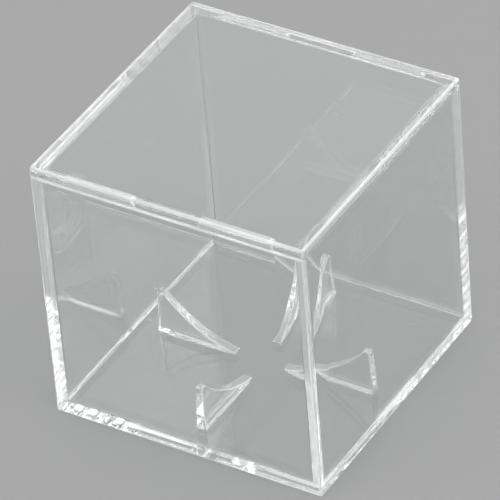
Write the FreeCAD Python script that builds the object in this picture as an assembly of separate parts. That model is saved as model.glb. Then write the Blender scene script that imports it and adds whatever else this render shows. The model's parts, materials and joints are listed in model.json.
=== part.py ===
"""Clear acrylic display cube: two interlocking U-shaped halves that enclose one ball-sized exhibit.

The lower half is the bottom panel with the front and back walls bonded to it, and four cradle fins on its
floor. The upper half is the top panel with the left and right walls. Both halves share one pattern: the upper
one is the lower one turned upside down and a quarter turn round, so that its walls close the open sides.

Millimetres. +Z is up, -Y is the front, and the origin is the middle of the underside.
"""

import FreeCAD
import Part

import math
import os

from FreeCAD import Vector

# ---------------------------------------------------------------- driving dimensions
WIDTH = 84.0  # over the left and right walls, and the same from front to back
HEIGHT = 83.5  # over the top and bottom panels
SHEET = 3.1  # thickness of every panel and wall
EDGE_RADIUS = 0.8  # of all twelve outer edges of the closed cube
JOINT_RADIUS = 0.7  # of the outer edges on both sides of a dry joint between panel and wall

# Tongues on the free edge of each wall, and the blind pockets inside the panel edges that take them
TONGUE_LENGTH = 22.2
TONGUE_RISE = 1.35
TONGUE_THICKNESS = 1.3
TONGUE_SETBACK = 1.2  # of the tongue's outer side from the wall's outer face
TONGUE_END_RADIUS = 1.2
TONGUE_PITCH = 42.0  # between the two tongues of a wall, which are centred on the wall's quarter points
POCKET_CLEARANCE = 0.1  # round each tongue
MITRE_CLEARANCE = 0.1  # between the mitred upright edges of the two halves

# Cradle fins, radial plates on the floor's middle lines with a concave top edge and moulded draft
FIN_FOOT_THICKNESS = 3.1
FIN_TOP_THICKNESS = 2.2
FIN_HEIGHT = 14.0
FIN_OUTER_RADIUS = 32.8  # from the middle of the floor to the foot of the outer edge
FIN_LEAN = 0.6  # of the outer edge inwards over the fin's height
FIN_TIP_RADIUS = 8.0
FIN_TIP_HEIGHT = 0.3
FIN_CORNER_RADIUS = 0.6
CRADLE_RADIUS = 39.0  # of the spherical seat that the four top edges follow

# ---------------------------------------------------------------- worked out
HALF = WIDTH / 2
FLOOR = SHEET  # top of the bottom panel
SEAT = HEIGHT - SHEET  # underside of the top panel
TONGUE_CENTRES = [-TONGUE_PITCH / 2, TONGUE_PITCH / 2]
ALONG_X = Vector(1, 0, 0)
ALONG_Y = Vector(0, 1, 0)
UP = Vector(0, 0, 1)
NEAR = 0.01  # within which two places count as one
CENTRE = Vector(0, 0, HEIGHT / 2)


def turned(shape, degrees, axis=UP, about=CENTRE):
    """A copy of the shape, turned about an axis through a point."""
    copy = shape.copy()
    copy.rotate(about, axis, degrees)
    return copy


def plate(outline, thickness):
    """The closed outline, extruded along the thickness vector."""
    return Part.Face(Part.makePolygon(outline + outline[:1])).extrude(thickness)


def rounded(solid, radius, direction, chosen):
    """The solid with its chosen straight edges along a direction filleted."""
    edges = [
        edge
        for edge in solid.Edges
        if abs(edge.tangentAt(edge.FirstParameter).dot(direction)) > 0.999 and chosen(edge.CenterOfMass)
    ]
    return solid.makeFillet(radius, edges)


def rounded_block():
    """The closed cube's outside, as a solid block with every edge rounded."""
    block = Part.makeBox(WIDTH, WIDTH, HEIGHT, Vector(-HALF, -HALF, 0))
    return block.makeFillet(EDGE_RADIUS, block.Edges)


# ---------------------------------------------------------------- the pieces
def tongue(centre, clearance=0.0):
    """A tongue on the front wall's top edge, with rounded upper corners, larger by a clearance all round."""
    corner = Vector(
        centre - TONGUE_LENGTH / 2 - clearance,
        -HALF + TONGUE_SETBACK - clearance,
        SEAT,
    )
    rise = TONGUE_RISE + clearance
    block = Part.makeBox(TONGUE_LENGTH + 2 * clearance, TONGUE_THICKNESS + 2 * clearance, rise, corner)
    middle = SEAT + rise / 2
    return rounded(block, TONGUE_END_RADIUS + clearance, ALONG_Y, lambda point: point.z > middle)


def front_wall():
    """Wall on the bottom panel, with mitred upright edges and two tongues along its top."""
    outer = HALF - MITRE_CLEARANCE / 2 * math.sqrt(2)
    inner = outer - SHEET
    outline = [
        Vector(-outer, -HALF, FLOOR),
        Vector(outer, -HALF, FLOOR),
        Vector(inner, -HALF + SHEET, FLOOR),
        Vector(-inner, -HALF + SHEET, FLOOR),
    ]
    wall = plate(outline, Vector(0, 0, SEAT - FLOOR))
    wall = rounded(wall, JOINT_RADIUS, ALONG_X, lambda point: point.z > SEAT - NEAR and point.y < NEAR - HALF)
    wall = wall.common(rounded_block())
    for centre in TONGUE_CENTRES:
        wall = wall.fuse(tongue(centre))
    return wall.removeSplitter()


def top_panel():
    """Square panel with two pockets in its underside along the front edge, and two along the back edge."""
    panel = Part.makeBox(WIDTH, WIDTH, SHEET, Vector(-HALF, -HALF, SEAT))
    panel = rounded(panel, JOINT_RADIUS, ALONG_X, lambda point: point.z < SEAT + NEAR).common(rounded_block())
    for centre in TONGUE_CENTRES:
        pocket = tongue(centre, POCKET_CLEARANCE)
        panel = panel.cut(pocket).cut(turned(pocket, 180))
    return panel


def cradle_fin():
    """The fin that points along +X from near the middle of the floor."""
    arc_centre = FLOOR + FIN_TIP_HEIGHT + math.sqrt(CRADLE_RADIUS**2 - FIN_TIP_RADIUS**2)
    top = FLOOR + FIN_HEIGHT
    land_start = math.sqrt(CRADLE_RADIUS**2 - (arc_centre - top) ** 2)

    def on_seat(radius):
        return Vector(radius, 0, arc_centre - math.sqrt(CRADLE_RADIUS**2 - radius**2))

    outer_top = FIN_OUTER_RADIUS - FIN_LEAN
    corners = [
        on_seat(land_start),
        Vector(outer_top, 0, top),
        Vector(FIN_OUTER_RADIUS, 0, FLOOR),
        Vector(FIN_TIP_RADIUS, 0, FLOOR),
        on_seat(FIN_TIP_RADIUS),
    ]
    middle = (land_start + FIN_TIP_RADIUS) / 2
    seat_edge = Part.Arc(corners[-1], on_seat(middle), corners[0]).toShape()
    straight = [Part.LineSegment(a, b).toShape() for a, b in zip(corners, corners[1:])]
    face = Part.Face(Part.Wire(straight + [seat_edge]))
    face.translate(Vector(0, -FIN_FOOT_THICKNESS / 2, 0))
    fin = face.extrude(Vector(0, FIN_FOOT_THICKNESS, 0))

    def outer_corner(point):
        return point.x > outer_top - NEAR and point.z > top - NEAR

    fin = rounded(fin, FIN_CORNER_RADIUS, ALONG_Y, outer_corner)
    foot, edge = FIN_FOOT_THICKNESS / 2, FIN_TOP_THICKNESS / 2
    draft = [Vector(0, -foot, FLOOR), Vector(0, foot, FLOOR), Vector(0, edge, top), Vector(0, -edge, top)]
    return fin.common(plate(draft, Vector(WIDTH, 0, 0)))


def other_half(shape):
    """A piece of one half, placed as its twin in the other: upside down and a quarter turn round."""
    return turned(turned(shape, 180, ALONG_X), 90)


# ---------------------------------------------------------------- the whole cube
def nodes():
    """Every piece by name, where it lies in the closed cube."""
    wall = front_wall()
    panel = top_panel()
    fin = cradle_fin()
    return {
        "bottom_panel": other_half(panel),
        "front_wall": wall,
        "back_wall": turned(wall, 180),
        "right_cradle_fin": fin,
        "back_cradle_fin": turned(fin, 90),
        "left_cradle_fin": turned(fin, 180),
        "front_cradle_fin": turned(fin, 270),
        "top_panel": panel,
        "left_wall": other_half(wall),
        "right_wall": other_half(turned(wall, 180)),
    }


def main():
    os.makedirs("parts", exist_ok=True)
    for name, shape in nodes().items():
        solid = shape.Solids[0]
        box = solid.BoundBox
        print(
            f"{name}: {len(shape.Solids)} solid, valid {solid.isValid()}, {solid.Volume:.0f} mm3, "
            f"x {box.XMin:.2f} {box.XMax:.2f}, y {box.YMin:.2f} {box.YMax:.2f}, "
            f"z {box.ZMin:.2f} {box.ZMax:.2f}"
        )
        solid.exportStep(f"parts/{name}.step")


main()
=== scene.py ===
"""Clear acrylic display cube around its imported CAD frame, on a pale studio floor."""

import json
import math

import bmesh
import bpy
from mathutils import Matrix, Vector


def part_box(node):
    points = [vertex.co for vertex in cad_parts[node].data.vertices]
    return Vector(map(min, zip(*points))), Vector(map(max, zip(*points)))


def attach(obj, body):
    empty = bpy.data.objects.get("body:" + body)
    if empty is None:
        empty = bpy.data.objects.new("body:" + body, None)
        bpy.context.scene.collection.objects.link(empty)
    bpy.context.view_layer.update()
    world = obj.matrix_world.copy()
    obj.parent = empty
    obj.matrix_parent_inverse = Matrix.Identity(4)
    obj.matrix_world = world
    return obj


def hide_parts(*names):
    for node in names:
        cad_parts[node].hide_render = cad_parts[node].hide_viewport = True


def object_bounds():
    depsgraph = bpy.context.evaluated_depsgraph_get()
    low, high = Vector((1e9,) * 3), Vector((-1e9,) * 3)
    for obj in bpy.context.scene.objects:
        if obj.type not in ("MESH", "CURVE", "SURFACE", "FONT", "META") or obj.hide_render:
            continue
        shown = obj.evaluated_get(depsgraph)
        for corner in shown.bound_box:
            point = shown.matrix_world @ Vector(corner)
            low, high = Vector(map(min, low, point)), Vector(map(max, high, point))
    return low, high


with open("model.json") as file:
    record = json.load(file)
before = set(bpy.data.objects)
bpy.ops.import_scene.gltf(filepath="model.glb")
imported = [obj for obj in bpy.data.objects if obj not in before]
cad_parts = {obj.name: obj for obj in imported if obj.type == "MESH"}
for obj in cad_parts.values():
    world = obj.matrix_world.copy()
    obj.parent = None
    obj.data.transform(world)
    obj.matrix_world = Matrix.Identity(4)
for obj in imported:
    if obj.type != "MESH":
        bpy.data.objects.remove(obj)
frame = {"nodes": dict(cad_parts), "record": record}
cad_low, cad_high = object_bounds()

# ---------------------------------------------------------------- the frame's own measures, in millimetres
TO_MM = 1000.0
HALF = cad_high.x * TO_MM
HEIGHT = cad_high.z * TO_MM
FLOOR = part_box("bottom_panel")[1].z * TO_MM
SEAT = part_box("top_panel")[0].z * TO_MM
FIN_LOW, FIN_HIGH = (corner * TO_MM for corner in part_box("right_cradle_fin"))
SHEET = FLOOR
INNER = HALF - SHEET  # from the cube's middle to the walls' inner faces
BODY_OF = {node: body for body, members in frame["record"]["behaviour"]["bodies"].items() for node in members}

# ---------------------------------------------------------------- making, in millimetres
AIR_FILM = 0.05  # left between faces that only rest on each other
BOND_DEPTH = 0.03  # that a bonded face reaches into its neighbour, so that light passes the joint
INNER_ROUND = 0.2  # of the inner edges along a dry joint
WALL_FILLET = 0.75  # along the inner foot of a bonded wall
WALL_FILLET_OVERLAP = 0.2  # that it reaches sideways into the wall
WALL_FILLET_END = 0.1  # that it stops short of the inner corners
SWELL = 0.16  # that a wall's inner face thickens towards its mitred sides
SWELL_REACH = 6.5
SWELL_POWER = 1.8
CRADLE_RADIUS = 39.0  # of the spherical seat that the fins' top edges follow
FIN_TOP_THICKNESS = 2.2
FIN_LEAN = 0.6  # of the fins' outer edges inwards over their height
FIN_TIP_HEIGHT = 0.3
FIN_CORNER_RADIUS = 0.6
FIN_CORNER_STEPS = 5
FIN_ROUND = 0.3
FIN_FILLET = 0.5  # round the fin's foot
FIN_FILLET_OVERLAP = 0.15  # that it reaches sideways into the fin
FIN_FILLET_START = 9.6  # from the cube's middle, where the fin is high enough for it
FIN_FILLET_END = 0.2  # that it stops short of the fin's outer edge

# ---------------------------------------------------------------- telling faces and points apart
NEAR = 1e-3  # millimetres within which two places count as one
ON_PLANE = 5e-3  # millimetres that a point may lie off a plane and still be on it
EDGE_BAND = 1.0  # outside depth that holds every outer rounding and none of the pockets
LARGE_FACE_ABOVE = HEIGHT / 4  # the middles of the walls' large faces lie higher, their foot fillets' lower
MERGE_ANGLE = math.radians(0.5)  # below which neighbouring triangles are one flat face

# Parts of a face's unit normal
ALONG_AXIS = 0.9999  # the largest part, from which the face looks along that axis
ALMOST_ALONG = 0.99  # the same for a face of the swollen strips
UNDERSIDE = -0.9  # the part along Z, up to which the face is the underside
SLIGHT = 0.1  # any part, below which the face hardly looks that way
MITRE_SPREAD = 0.01  # that a mitred side's parts along X and Y differ by at most
END_SLOPE = 0.3  # a tongue face's part along X, from which it counts as the tongue's end

# ---------------------------------------------------------------- looks
FACE, MOULDED, EDGE = range(3)  # material indices: polished faces, small moulded features, rounded edges
PLASTIC_IOR = 1.59  # moulded polystyrene
PLASTIC_TINT = (0.985, 0.99, 0.99, 1)
HAZE_NOISE = (60.0, 3.0)  # cells to the metre, and detail
HAZE_CONTRAST = (0.45, 0.75)  # noise values where the haze starts and where it is full
RIPPLE_NOISE = (22.0, 1.0)
RIPPLE_DEPTH = 1e-7  # metres

# Hairline scratches: one in each cell of a stretched pattern, where the cell's middle is near the surface
SCRATCH_SCALE = (40.0, 400.0, 110.0)  # cells to the metre
SCRATCH_TURN = (0.5, 0.3, 0.4)  # radians
SCRATCH_SIZE = 0.07  # radius, in cells
SCRATCH_DEPTH = 6e-5  # metres, on the polished faces alone

GROUND_SIZE = 8.0  # metres
GROUND_GAP = 0.0002  # metres under the cube, so that floor and cube don't share a plane
GROUND_COLOUR = (0.28, 0.28, 0.28, 1)
SKY_COLOUR = (0.75, 0.75, 0.75, 1)
LAMP_DISTANCE = 2.0  # metres from the origin
CAMERA_PLACE = (0.6101, -0.9195, 0.8971)  # metres
CAMERA_TARGET = (-0.0011, -0.00148, 0.04095)  # metres
CAMERA_ROLL = math.radians(-4.96)


# ---------------------------------------------------------------- mesh helpers
def merge_flat(bm):
    """Joins doubled points, and triangles that lie in one plane."""
    bmesh.ops.remove_doubles(bm, verts=bm.verts, dist=NEAR)
    bmesh.ops.dissolve_limit(bm, angle_limit=MERGE_ANGLE, verts=bm.verts, edges=bm.edges)


def from_node(name):
    """The CAD node's shape as a bmesh in millimetres, its triangles merged into flat faces."""
    bm = bmesh.new()
    bm.from_mesh(frame["nodes"][name].data)
    bmesh.ops.scale(bm, vec=(TO_MM,) * 3, verts=bm.verts)
    merge_flat(bm)
    for face in bm.faces:
        face.smooth = False
        face.material_index = FACE
    return bm


def prism(outline, direction):
    """The outline, a list of points, extruded along the direction vector."""
    bm = bmesh.new()
    face = bm.faces.new([bm.verts.new(point) for point in outline])
    swept = bmesh.ops.extrude_face_region(bm, geom=[face])
    moved = [item for item in swept["geom"] if isinstance(item, bmesh.types.BMVert)]
    bmesh.ops.translate(bm, vec=direction, verts=moved)
    bmesh.ops.recalc_face_normals(bm, faces=bm.faces)
    return bm


def joined(base, tool):
    """The two shapes as one."""
    objects = []
    for bm in (base, tool):
        mesh = bpy.data.meshes.new("scratch")
        bm.to_mesh(mesh)
        bm.free()
        objects.append(bpy.data.objects.new("scratch", mesh))
        bpy.context.scene.collection.objects.link(objects[-1])
    union = objects[0].modifiers.new("union", "BOOLEAN")
    union.operation = "UNION"
    union.solver = "EXACT"
    union.object = objects[1]
    graph = bpy.context.evaluated_depsgraph_get()
    mesh = bpy.data.meshes.new_from_object(objects[0].evaluated_get(graph))
    result = bmesh.new()
    result.from_mesh(mesh)
    bpy.data.meshes.remove(mesh)
    for obj in objects:
        data = obj.data
        bpy.data.objects.remove(obj)
        bpy.data.meshes.remove(data)
    merge_flat(result)
    return result


def fillet_outline(radius, overlap, steps=6):
    """A concave corner fillet as (out, up) pairs, with its straight sides reaching into both neighbours."""
    curve = [
        (radius - radius * math.sin(turn), radius - radius * math.cos(turn))
        for turn in (math.pi / 2 * step / steps for step in range(steps + 1))
    ]
    return [(-overlap, -BOND_DEPTH), (radius, -BOND_DEPTH), *curve, (-overlap, radius)]


def round_edges(bm, radius, chosen, segments=3):
    """Rounds the edges whose two ends satisfy the test together."""
    edges = [edge for edge in bm.edges if chosen(*(vert.co for vert in edge.verts))]
    made = bmesh.ops.bevel(
        bm, geom=edges, offset=radius, segments=segments, profile=0.5, affect="EDGES", clamp_overlap=True
    )
    for face in made["faces"]:
        face.smooth = True
        face.material_index = EDGE


def on(value, target):
    """Whether a coordinate lies on the plane at the target, on either side of the middle."""
    return abs(abs(value) - target) < ON_PLANE


def tilted(normal):
    """Whether a face looks along none of the three axes."""
    return max(abs(part) for part in normal) < ALONG_AXIS


def is_mitred(normal):
    """Whether a face looks equally far along X and Y, as the mitred sides do."""
    return abs(abs(normal.x) - abs(normal.y)) < MITRE_SPREAD and abs(normal.x) > SLIGHT


def tongue_material(normal):
    """A tongue's or pocket's rounded ends show up brighter than its long sides."""
    return EDGE if abs(normal.x) > END_SLOPE else MOULDED


def turned(bm, matrix):
    copy = bm.copy()
    bmesh.ops.transform(copy, matrix=matrix, verts=copy.verts)
    return copy


def quarter(turns):
    return Matrix.Rotation(math.pi / 2 * turns, 4, "Z")


def other_half():
    """The matrix that places one half's pattern in the other: upside down, then a quarter turn round."""
    centre = Matrix.Translation((0, 0, HEIGHT / 2))
    return quarter(1) @ centre @ Matrix.Rotation(math.pi, 4, "X") @ centre.inverted()


# ---------------------------------------------------------------- the pieces
def wall():
    """The front wall: bonded foot with its fillet, dry mitred sides, and tongues along the top."""
    bm = from_node("front_wall")
    for vert in bm.verts:
        if abs(vert.co.z - SEAT) < NEAR:
            vert.co.z -= AIR_FILM
        elif abs(vert.co.z - FLOOR) < NEAR:
            vert.co.z -= BOND_DEPTH
    reach = INNER - WALL_FILLET_END
    fillet = fillet_outline(WALL_FILLET, WALL_FILLET_OVERLAP)
    foot = [(-reach, -INNER + out, FLOOR + up) for out, up in fillet]
    bm = joined(bm, prism(foot, (2 * reach, 0, 0)))
    top = SEAT - AIR_FILM
    for face in bm.faces:
        centre, normal = face.calc_center_median(), face.normal
        mitred = is_mitred(normal)
        curved = tilted(normal) and not mitred
        outer = centre.y < EDGE_BAND - HALF
        tongued = centre.z > top + NEAR
        face.smooth = curved
        if tongued:
            face.material_index = tongue_material(normal)
        elif mitred:
            face.material_index = MOULDED
        elif curved and outer:
            face.material_index = EDGE

    def inner_top(a, b):
        return on(a.y, INNER) and on(b.y, INNER) and on(a.z, top) and on(b.z, top)

    round_edges(bm, INNER_ROUND, inner_top)
    swell(bm)
    return bm


def swell(bm, steps=10):
    """Thickens the wall's inner face towards both mitred sides, along a smooth curve."""
    end = max(vert.co.x for vert in bm.verts if on(vert.co.y, INNER))
    for side in (-1, 1):
        for step in range(1, steps + 1):
            place = (side * (end - SWELL_REACH * step / steps), 0, 0)
            parts = [*bm.verts, *bm.edges, *bm.faces]
            bmesh.ops.bisect_plane(bm, geom=parts, plane_co=place, plane_no=(1, 0, 0))
    for vert in bm.verts:
        distance = end - abs(vert.co.x)
        mitred = distance < NEAR
        depth = min(1, (vert.co.y + HALF) / SHEET)
        if vert.co.y > -INNER - INNER_ROUND - NEAR and distance < SWELL_REACH:
            growth = SWELL * (1 - max(0, distance) / SWELL_REACH) ** SWELL_POWER
            vert.co.y += growth * depth
            if mitred:
                vert.co.x -= math.copysign(growth * depth, vert.co.x)
    bm.normal_update()
    strips = set()
    for face in bm.faces:
        centre = face.calc_center_median()
        swollen = abs(centre.x) > end - SWELL_REACH and centre.y > -INNER - NEAR
        if swollen and face.normal.y > ALMOST_ALONG and centre.z > LARGE_FACE_ABOVE:
            strips.add(face)
            face.smooth = True
    for edge in bm.edges:
        edge.smooth = len(strips.intersection(edge.link_faces)) != 1


def panel():
    """The top panel: two pockets along its dry front edge, two along the back, and bonded left and right."""
    bm = from_node("top_panel")
    for face in bm.faces:
        centre, normal = face.calc_center_median(), face.normal
        within = max(abs(centre.x), abs(centre.y)) < HALF - EDGE_BAND
        pocket = within and SEAT + NEAR < centre.z < HEIGHT - NEAR
        face.smooth = tilted(normal)
        if pocket:
            face.material_index = tongue_material(normal)
        elif tilted(normal):
            face.material_index = EDGE
    return bm


def cradle_fin(steps=56):
    """The fin that points along +X, with rounded top edges and a moulded fillet round its foot."""
    foot_half, top_half = FIN_HIGH.y, FIN_TOP_THICKNESS / 2
    tip, outer, top = FIN_LOW.x, FIN_HIGH.x, FIN_HIGH.z
    outer_top = outer - FIN_LEAN
    arc_centre = FLOOR + FIN_TIP_HEIGHT + math.sqrt(CRADLE_RADIUS**2 - tip**2)
    land = math.sqrt(CRADLE_RADIUS**2 - (arc_centre - top) ** 2)

    def seat(radius):
        return arc_centre - math.sqrt(CRADLE_RADIUS**2 - radius**2)

    arc = [tip + (land - tip) * step / steps for step in range(steps + 1)]
    turns = [math.pi / 2 * step / FIN_CORNER_STEPS for step in range(FIN_CORNER_STEPS + 1)]
    corner = [
        (
            outer_top - FIN_CORNER_RADIUS + FIN_CORNER_RADIUS * math.sin(turn),
            top - FIN_CORNER_RADIUS + FIN_CORNER_RADIUS * math.cos(turn),
        )
        for turn in turns
    ]
    profile = [(radius, seat(radius)) for radius in arc] + corner
    profile += [(outer, FLOOR - BOND_DEPTH), (tip, FLOOR - BOND_DEPTH)]
    outline = [(x, -top_half, z) for x, z in profile]
    bm = prism(outline, (0, 2 * top_half, 0))
    for face in bm.faces:
        rim_face = abs(face.normal.y) < SLIGHT and face.normal.z > UNDERSIDE
        face.smooth = rim_face and SLIGHT < face.normal.z < ALONG_AXIS
        face.material_index = MOULDED if rim_face else FACE

    def rim(a, b):
        same_side = abs(a.y - b.y) < NEAR
        low = min(a.z, b.z) < FLOOR
        return same_side and (not low or min(a.x, b.x) > outer_top - NEAR)

    round_edges(bm, FIN_ROUND, rim)
    for vert in bm.verts:
        height = (vert.co.z - FLOOR) / (top - FLOOR)
        vert.co.y *= (foot_half + (top_half - foot_half) * height) / top_half
    fillet = fillet_outline(FIN_FILLET, FIN_FILLET_OVERLAP)
    length = outer - FIN_FILLET_START - FIN_FILLET_END
    for side in (-1, 1):
        foot = [(FIN_FILLET_START, side * (foot_half + out), FLOOR + up) for out, up in fillet]
        bm = joined(bm, prism(foot, (length, 0, 0)))
    return bm


def piece(node, bm):
    """Makes the finished piece that stands for a CAD node and moves with its body."""
    name = node + "_clear"
    bmesh.ops.scale(bm, vec=(1 / TO_MM,) * 3, verts=bm.verts)
    mesh = bpy.data.meshes.new(name)
    bm.to_mesh(mesh)
    bm.free()
    obj = bpy.data.objects.new(name, mesh)
    bpy.context.scene.collection.objects.link(obj)
    for material in (polished, moulded, rounded_edge):
        mesh.materials.append(material)
    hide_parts(node)
    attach(obj, BODY_OF[node])


# ---------------------------------------------------------------- materials
def clear_plastic(name, haze, scratch, white, shadow):
    """Clear plastic with moulding ripple, and with hairline scratches of the scratch depth in metres.

    Its roughness varies between the two haze values, and white is the share of the light that it scatters.
    Direct and scattered light fall through it in the shadow colour.
    """
    material = bpy.data.materials.new(name)
    material.use_nodes = True
    tree = material.node_tree
    nodes, link = tree.nodes, tree.links.new
    nodes.clear()
    place = nodes.new("ShaderNodeTexCoord")

    def noise(scale, detail):
        texture = nodes.new("ShaderNodeTexNoise")
        texture.inputs["Scale"].default_value = scale
        texture.inputs["Detail"].default_value = detail
        link(place.outputs["Object"], texture.inputs["Vector"])
        return texture.outputs["Fac"]

    def mapped(value, low, high, at_low, at_high):
        ramp = nodes.new("ShaderNodeMapRange")
        ramp.inputs["From Min"].default_value = low
        ramp.inputs["From Max"].default_value = high
        ramp.inputs["To Min"].default_value = at_low
        ramp.inputs["To Max"].default_value = at_high
        link(value, ramp.inputs["Value"])
        return ramp.outputs["Result"]

    def raised(height, distance):
        bump = nodes.new("ShaderNodeBump")
        bump.inputs["Strength"].default_value = 1.0
        bump.inputs["Distance"].default_value = distance
        link(height, bump.inputs["Height"])
        return bump

    turn = nodes.new("ShaderNodeMapping")
    turn.inputs["Rotation"].default_value = SCRATCH_TURN
    turn.inputs["Scale"].default_value = SCRATCH_SCALE
    link(place.outputs["Object"], turn.inputs["Vector"])
    cells = nodes.new("ShaderNodeTexVoronoi")
    cells.inputs["Scale"].default_value = 1.0
    link(turn.outputs["Vector"], cells.inputs["Vector"])
    scratches = raised(mapped(cells.outputs["Distance"], 0.0, SCRATCH_SIZE, 0.0, 1.0), scratch)
    surface = raised(noise(*RIPPLE_NOISE), RIPPLE_DEPTH)
    link(scratches.outputs["Normal"], surface.inputs["Normal"])

    plastic = nodes.new("ShaderNodeBsdfPrincipled")
    plastic.inputs["Base Color"].default_value = PLASTIC_TINT
    plastic.inputs["IOR"].default_value = PLASTIC_IOR
    plastic.inputs["Transmission Weight"].default_value = 1.0 - white
    link(mapped(noise(*HAZE_NOISE), *HAZE_CONTRAST, *haze), plastic.inputs["Roughness"])
    link(surface.outputs["Normal"], plastic.inputs["Normal"])
    paths = nodes.new("ShaderNodeLightPath")
    clear = nodes.new("ShaderNodeBsdfTransparent")
    clear.inputs["Color"].default_value = (*shadow, 1)
    seen = plastic.outputs[0]
    for ray in ("Is Diffuse Ray", "Is Shadow Ray"):
        mix = nodes.new("ShaderNodeMixShader")
        link(paths.outputs[ray], mix.inputs[0])
        link(seen, mix.inputs[1])
        link(clear.outputs[0], mix.inputs[2])
        seen = mix.outputs[0]
    out = nodes.new("ShaderNodeOutputMaterial")
    link(seen, out.inputs["Surface"])
    return material


def floor_material():
    material = bpy.data.materials.new("studio_floor")
    material.use_nodes = True
    surface = material.node_tree.nodes["Principled BSDF"]
    surface.inputs["Base Color"].default_value = GROUND_COLOUR
    surface.inputs["Roughness"].default_value = 0.9
    surface.inputs["Specular IOR Level"].default_value = 0.1
    return material


polished = clear_plastic("polished_plastic", (0.0, 0.006), SCRATCH_DEPTH, 0.0, (0.95, 0.955, 0.955))
moulded = clear_plastic("moulded_plastic", (0.0, 0.02), 0.0, 0.12, (0.85, 0.86, 0.86))
rounded_edge = clear_plastic("edge_plastic", (0.01, 0.06), 0.0, 0.3, (0.9, 0.91, 0.91))

# ---------------------------------------------------------------- build
front = wall()
lid = panel()
fin = cradle_fin()
flip = other_half()
shapes = {
    "bottom_panel": turned(lid, flip),
    "front_wall": turned(front, quarter(0)),
    "back_wall": turned(front, quarter(2)),
    "right_cradle_fin": turned(fin, quarter(0)),
    "back_cradle_fin": turned(fin, quarter(1)),
    "left_cradle_fin": turned(fin, quarter(2)),
    "front_cradle_fin": turned(fin, quarter(3)),
    "top_panel": turned(lid, quarter(0)),
    "left_wall": turned(front, flip),
    "right_wall": turned(front, flip @ quarter(2)),
}
for node, shape in shapes.items():
    piece(node, shape)

# ---------------------------------------------------------------- studio
bpy.ops.mesh.primitive_plane_add(size=GROUND_SIZE, location=(0, 0, -GROUND_GAP))
ground = bpy.context.object
ground.name = "studio_floor"
ground.data.materials.append(floor_material())


def aimed(place, target, roll=0.0):
    """A matrix at a place that looks at the target along its -Z, turned about that axis by roll."""
    away = (Vector(place) - Vector(target)).to_track_quat("Z", "Y").to_matrix().to_4x4()
    return Matrix.Translation(place) @ away @ Matrix.Rotation(roll, 4, "Z")


def softbox(name, azimuth, elevation, size, power):
    """A rectangular area lamp round the object. Azimuth 0 is the front and 90 the right, in degrees."""
    turn, lift = math.radians(azimuth), math.radians(elevation)
    way = Vector((math.sin(turn) * math.cos(lift), -math.cos(turn) * math.cos(lift), math.sin(lift)))
    lamp = bpy.data.lights.new(name, "AREA")
    lamp.shape = "RECTANGLE"
    lamp.size, lamp.size_y = size
    lamp.energy = power
    obj = bpy.data.objects.new(name, lamp)
    obj.matrix_world = aimed(way * LAMP_DISTANCE, (0, 0, HEIGHT / TO_MM / 2))
    bpy.context.scene.collection.objects.link(obj)
    obj.visible_camera = False


softbox("back_right_softbox", 146, 38, (1.2, 1.0), 9)
softbox("front_left_softbox", -34, 38, (0.9, 0.9), 2.2)
softbox("right_softbox", 75, 58, (1.0, 1.0), 14)
softbox("front_softbox", -10, 62, (1.0, 0.6), 8)
softbox("left_softbox", -92, 30, (1.1, 0.7), 6)
softbox("back_softbox", 165, 8, (1.0, 0.4), 5)

world = bpy.data.worlds.new("studio")
world.use_nodes = True
bpy.context.scene.world = world
world.node_tree.nodes["Background"].inputs["Color"].default_value = SKY_COLOUR

# ---------------------------------------------------------------- camera
lens = bpy.data.cameras.new("camera")
lens.lens = 371.5
lens.sensor_width = 36.0
lens.clip_start = 0.05
lens.clip_end = 50.0
camera = bpy.data.objects.new("camera", lens)
camera.matrix_world = aimed(CAMERA_PLACE, CAMERA_TARGET, CAMERA_ROLL)
bpy.context.scene.collection.objects.link(camera)
bpy.context.scene.camera = camera

cycles = bpy.context.scene.cycles
cycles.max_bounces = 96
cycles.glossy_bounces = 88
cycles.transmission_bounces = 48
cycles.transparent_max_bounces = 48
bpy.context.scene.view_settings.view_transform = "Standard"
